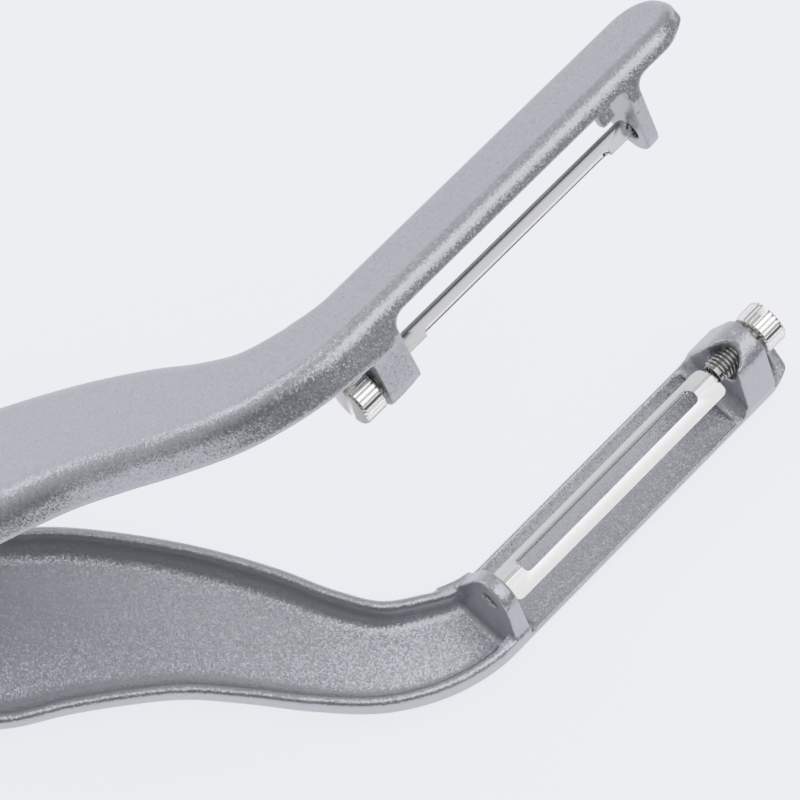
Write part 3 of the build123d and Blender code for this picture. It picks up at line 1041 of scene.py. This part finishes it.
def make_blade(context, name, node, body, start, tilt, mirrored):
    """Blade along Y: a slotted strip bent along its ridge, honed at its edges, with two tongues."""
    sizes = context.scene.peeler_blades
    near = (sizes.near_slot + sizes.strip) / MM
    far = -(sizes.far_slot + sizes.strip) / MM
    half = sizes.length / MM / 2
    slot = sizes.slot / MM / 2
    end = half + TONGUE_LENGTH
    outer = []
    for way in (1, -1):
        low, high = (far, near) if way < 0 else (near, far)
        tip, root = way * TONGUE_HALF, way * TONGUE_NOTCH
        outer += [
            (low, way * half, TAB_CORNER),
            (tip + root, way * half, 0),
            (tip, way * (half - TONGUE_NOTCH), 0.1),
            (tip - root * 0.2, way * (half + TONGUE_NOTCH), 0.1),
            (tip, way * end, 0.5),
            (-tip, way * end, 0.5),
            (-tip + root * 0.2, way * (half + TONGUE_NOTCH), 0.1),
            (-tip, way * (half - TONGUE_NOTCH), 0.1),
            (-tip - root, way * half, 0),
            (high, way * half, TAB_CORNER),
        ]
    hole = [
        (sizes.near_slot / MM, slot, SLOT_CORNER),
        (-sizes.far_slot / MM, slot, SLOT_CORNER),
        (-sizes.far_slot / MM, -slot, SLOT_CORNER),
        (sizes.near_slot / MM, -slot, SLOT_CORNER),
    ]
    bm = bmesh.new()
    edges = []
    for outline in (outer, hole):
        ring = [bm.verts.new((p.x, p.y, 0)) for p in rounded(outline)]
        edges += [bm.edges.new((p, q)) for p, q in zip(ring, ring[1:] + ring[:1])]
    bmesh.ops.triangle_fill(bm, edges=edges, use_beauty=True)
    # Bent along its middle line, with a fine crease along the ridge
    for cut in np.linspace(-BEND_HALF, BEND_HALF, 9):
        bmesh.ops.bisect_plane(
            bm,
            geom=bm.verts[:] + bm.edges[:] + bm.faces[:],
            plane_co=(cut, 0, 0),
            plane_no=(1, 0, 0),
        )
    slope = math.radians(BEND_SLOPE)
    radius = BEND_HALF / slope
    for vert in bm.verts:
        u = vert.co.x
        a = max(-slope, min(slope, u / radius))
        rest = u - a * radius
        x = radius * math.sin(a) + rest * math.cos(slope)
        z = radius * (math.cos(a) - 1) - abs(rest) * math.sin(slope)
        z -= CREASE_DEPTH if abs(u) < 0.1 else 0
        vert.co = (x, vert.co.y + start + half, z + RIDGE_HEIGHT)
    bmesh.ops.recalc_face_normals(bm, faces=bm.faces[:])
    if sum(face.normal.z for face in bm.faces) < 0:
        bmesh.ops.reverse_faces(bm, faces=bm.faces[:])
    bm.transform(Matrix.Rotation(tilt, 4, "Y"))
    bm.transform(Matrix.Translation((0, 0, sizes.axis / MM)))
    if mirrored:
        bm.transform(mirror_matrix(context.scene.peeler_arms.opening))
        bmesh.ops.reverse_faces(bm, faces=bm.faces[:])
    bm.transform(Matrix.Scale(MM, 4))
    blade = from_bmesh(name, bm)
    thick = blade.modifiers.new("thickness", "SOLIDIFY")
    thick.thickness = sizes.thickness
    thick.offset = -1
    honed = blade.modifiers.new("honed edges", "BEVEL")
    honed.width = 0.00012
    honed.segments = 2
    honed.limit_method = "ANGLE"
    honed.angle_limit = math.radians(50)
    apply_modifiers(blade)
    smooth_by_angle(blade, 30)
    put_material(blade, finish_of("Polished stainless strip steel", polished_blade_steel))
    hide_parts(node)
    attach(blade, body)


class PEELER_OT_blades(bpy.types.Operator):
    """Makes both blades and finishes the hinge pin"""

    bl_idname = "peeler.blades"
    bl_label = "Blades and pin"

    def execute(self, context):
        make_blade(
            context, "lower_strip", "lower_blade", "lower_blade", 1.8, math.radians(-17), False
        )
        make_blade(
            context, "upper_strip", "upper_blade", "upper_blade", 4.2, math.radians(42), True
        )
        put_material(frame["nodes"]["hinge_pin"], bright_finish("Drawn spring steel"))
        return {"FINISHED"}


def make_screw(context, name, node, body, facing):
    """Adjusting screw with its head towards facing along Y."""
    sizes = context.scene.peeler_screws
    low, high = (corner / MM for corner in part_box(node))
    centre = (low + high) / 2
    tip, top = (low.y, high.y) if facing > 0 else (high.y, low.y)
    head_start = top - facing * sizes.head_length / MM
    turn = (math.radians(-90 * facing), sizes.slot_turn, 0)
    head_middle = (head_start + top) / 2
    plate = bright_finish("Bright nickel plate")
    # The thread and the core take a darker copy of the nickel plate, as painted shade for the
    # thread's valleys
    rolled = bright_finish("Nickel-plated thread with painted valley shade")
    head = grow(
        name,
        bpy.data.node_groups.get("Knurled head") or knurled_head_tree(),
        {
            "Radius": sizes.head_radius,
            "Length": sizes.head_length,
            "Flutes": sizes.flutes,
            "Place": (centre.x * MM, head_middle * MM, centre.z * MM),
            "Turn": turn,
            "Material": plate,
        },
    )
    core = sizes.radius / MM - THREAD_DEPTH
    length = abs(head_start - tip)
    # The core runs on a little into the head, and its tip is hollow for the blade's tongue
    shank = turned(
        name + "_core",
        [
            (0.0, BORE_DEPTH),
            (BORE_RADIUS, BORE_DEPTH),
            (BORE_RADIUS, BORE_CHAMFER),
            (BORE_MOUTH, 0.0),
            (core, 0.0),
            (core, length + 0.3),
            (0.0, length + 0.3),
        ],
        (centre.x, tip, centre.z),
        facing,
    )
    thread = grow(
        name + "_thread",
        bpy.data.node_groups.get("Screw thread") or thread_tree(),
        {
            "Radius": sizes.radius,
            "Pitch": sizes.pitch,
            "Length": (length - THREAD_SHORTER) * MM,
            "Tooth": RIDGE_RADIUS * MM,
            "Place": (centre.x * MM, (tip + facing * THREAD_FROM) * MM, centre.z * MM),
            "Turn": turn,
            "Material": rolled,
        },
    )
    bm = bmesh.new()
    for index, part in enumerate((head, shank, thread)):
        known = len(bm.faces)
        bm.from_mesh(part.data)
        bm.faces.ensure_lookup_table()
        for face in bm.faces[known:]:
            face.material_index = min(index, 1)
    for part in (shank, thread):
        bpy.data.objects.remove(part)
    put_material(head, plate)
    head.data.materials.append(rolled)
    bm.to_mesh(head.data)
    bm.free()
    smooth_by_angle(head, 35)
    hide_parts(node)
    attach(head, body)


class PEELER_OT_screws(bpy.types.Operator):
    """Makes both adjusting screws"""

    bl_idname = "peeler.screws"
    bl_label = "Adjusting screws"

    def execute(self, context):
        make_screw(context, "lower_adjuster", "lower_screw", "lower_screw", 1)
        make_screw(context, "upper_adjuster", "upper_screw", "upper_screw", -1)
        return {"FINISHED"}


class PEELER_OT_spring(bpy.types.Operator):
    """Makes the torsion spring on the hinge pin"""

    bl_idname = "peeler.spring"
    bl_label = "Hinge spring"

    def execute(self, context):
        sizes = context.scene.peeler_spring
        opening = context.scene.peeler_arms.opening
        points_per_turn = 24
        turning = 2 * math.pi * sizes.turns + math.pi - opening
        rise = sizes.pitch / (2 * math.pi)
        start_y = HINGE.y * MM - rise * turning / 2
        points = []
        for turn in np.linspace(0, turning, points_per_turn * sizes.turns + 9):
            angle = -math.pi / 2 - turn
            points.append(
                Vector(
                    (
                        HINGE.x * MM + sizes.radius * math.cos(angle),
                        start_y + rise * turn,
                        HINGE.z * MM + sizes.radius * math.sin(angle),
                    )
                )
            )
        first = (points[0] - points[1]).normalized()
        last = (points[-1] - points[-2]).normalized()
        points = [points[0] + first * sizes.leg] + points + [points[-1] + last * sizes.leg]
        curve = bpy.data.curves.new("hinge_spring_wire", "CURVE")
        curve.dimensions = "3D"
        curve.bevel_depth = sizes.wire / 2
        curve.bevel_resolution = 4
        curve.use_fill_caps = True
        line = curve.splines.new("POLY")
        line.points.add(len(points) - 1)
        for place, point in zip(line.points, points):
            place.co = (*point, 1)
        path = new_object("wire_path", curve)
        data = bpy.data.meshes.new_from_object(
            path.evaluated_get(context.evaluated_depsgraph_get())
        )
        spring = new_object("spring_wire", data)
        bpy.data.objects.remove(path)
        smooth_faces(spring)
        put_material(spring, bright_finish("Drawn spring steel"))
        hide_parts("hinge_spring")
        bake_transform(spring)
        return {"FINISHED"}


class PEELER_OT_studio(bpy.types.Operator):
    """Sets up the table, the softboxes and the camera"""

    bl_idname = "peeler.studio"
    bl_label = "Studio"

    def execute(self, context):
        settings = context.scene.peeler_studio
        # The table is 6 m square, and lies 0.1 mm under the lower arm's back
        half_table, under = 3.0, 0.0001
        bm = bmesh.new()
        bmesh.ops.create_grid(bm, x_segments=8, y_segments=8, size=half_table)
        table = from_bmesh("table_top", bm)
        for vertex in table.data.vertices:
            vertex.co.z = -under
        put_material(table, studio_acrylic(list(settings.table)))

        # Softboxes, both aimed at the middle of the peeler
        middle = Vector((-0.04, 0.0, 0.03))
        for name, power, size, place in (
            ("softbox_overhead", settings.key, 2.35, (0.66, 0.35, 1.6)),
            ("softbox_side", settings.fill, 1.0, (-1.5, -0.3, 0.9)),
        ):
            lamp = bpy.data.lights.new(name, "AREA")
            lamp.shape = "SQUARE"
            lamp.size = size
            lamp.energy = power
            lamp.color = linear(0xFDFDFF)[:3]
            holder = new_object(name, lamp)
            holder.location = place
            aim = middle - Vector(place)
            holder.rotation_euler = aim.to_track_quat("-Z", "Y").to_euler()

        world = bpy.data.worlds.new("Studio room")
        world.use_nodes = True
        tree = world.node_tree
        tree.nodes.clear()
        # The room is lighter towards -X, and a fifth as bright towards +X
        way = put(tree, "ShaderNodeTexCoord").outputs["Generated"]
        sideways = put(tree, "ShaderNodeSeparateXYZ", (way,)).outputs["X"]
        light = put(
            tree,
            "ShaderNodeMapRange",
            {
                "Value": sideways,
                "From Min": -0.5,
                "From Max": 0.5,
                "To Min": settings.room,
                "To Max": settings.room * 0.2,
            },
            interpolation_type="SMOOTHSTEP",
        )
        room = put(
            tree,
            "ShaderNodeBackground",
            {"Color": linear(0xF5F6FA), "Strength": light.outputs["Result"]},
        )
        put(tree, "ShaderNodeOutputWorld", {"Surface": room})
        context.scene.world = world
        context.scene.view_settings.view_transform = "Standard"

        camera = bpy.data.cameras.new("camera")
        camera.lens = settings.lens
        camera.sensor_width = 36.0
        camera.clip_start = 0.05
        camera.clip_end = 50.0
        holder = new_object("camera", camera)
        # Which way the camera's right, top and back face
        right = Vector((0.72486, 0.68893, 0.00273))
        up = Vector((-0.64649, 0.67885, 0.34830))
        back = Vector((0.23806, -0.25415, 0.93736))
        stand = Matrix((right, up, back)).transposed().to_4x4()
        stand.translation = Vector((0.16396, -0.20020, 0.80724))
        holder.matrix_world = stand
        context.scene.camera = holder
        return {"FINISHED"}


class PEELER_PT_panel(bpy.types.Panel):
    """Buttons for each piece of the peeler, with its sizes"""

    bl_idname = "PEELER_PT_panel"
    bl_label = "Tong peeler"
    bl_space_type = "VIEW_3D"
    bl_region_type = "UI"
    bl_category = "Peeler"

    def draw(self, context):
        for operator in OPERATORS:
            self.layout.operator(operator.bl_idname)
        for group, kind in GROUPS.items():
            box = self.layout.box()
            for label in kind.__annotations__:
                box.prop(getattr(context.scene, group), label)


OPERATORS = (
    PEELER_OT_lower_arm,
    PEELER_OT_upper_arm,
    PEELER_OT_blades,
    PEELER_OT_screws,
    PEELER_OT_spring,
    PEELER_OT_studio,
)
CLASSES = (*GROUPS.values(), *OPERATORS, PEELER_PT_panel)


def register():
    for made in CLASSES:
        bpy.utils.register_class(made)
    for name, kind in GROUPS.items():
        setattr(bpy.types.Scene, name, PointerProperty(type=kind))


def unregister():
    for name in GROUPS:
        delattr(bpy.types.Scene, name)
    for made in reversed(CLASSES):
        bpy.utils.unregister_class(made)


def main():
    register()
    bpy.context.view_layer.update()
    bpy.ops.peeler.lower_arm()
    bpy.ops.peeler.upper_arm()
    bpy.ops.peeler.blades()
    bpy.ops.peeler.screws()
    bpy.ops.peeler.spring()
    bpy.ops.peeler.studio()


if __name__ == "__main__":
    main()
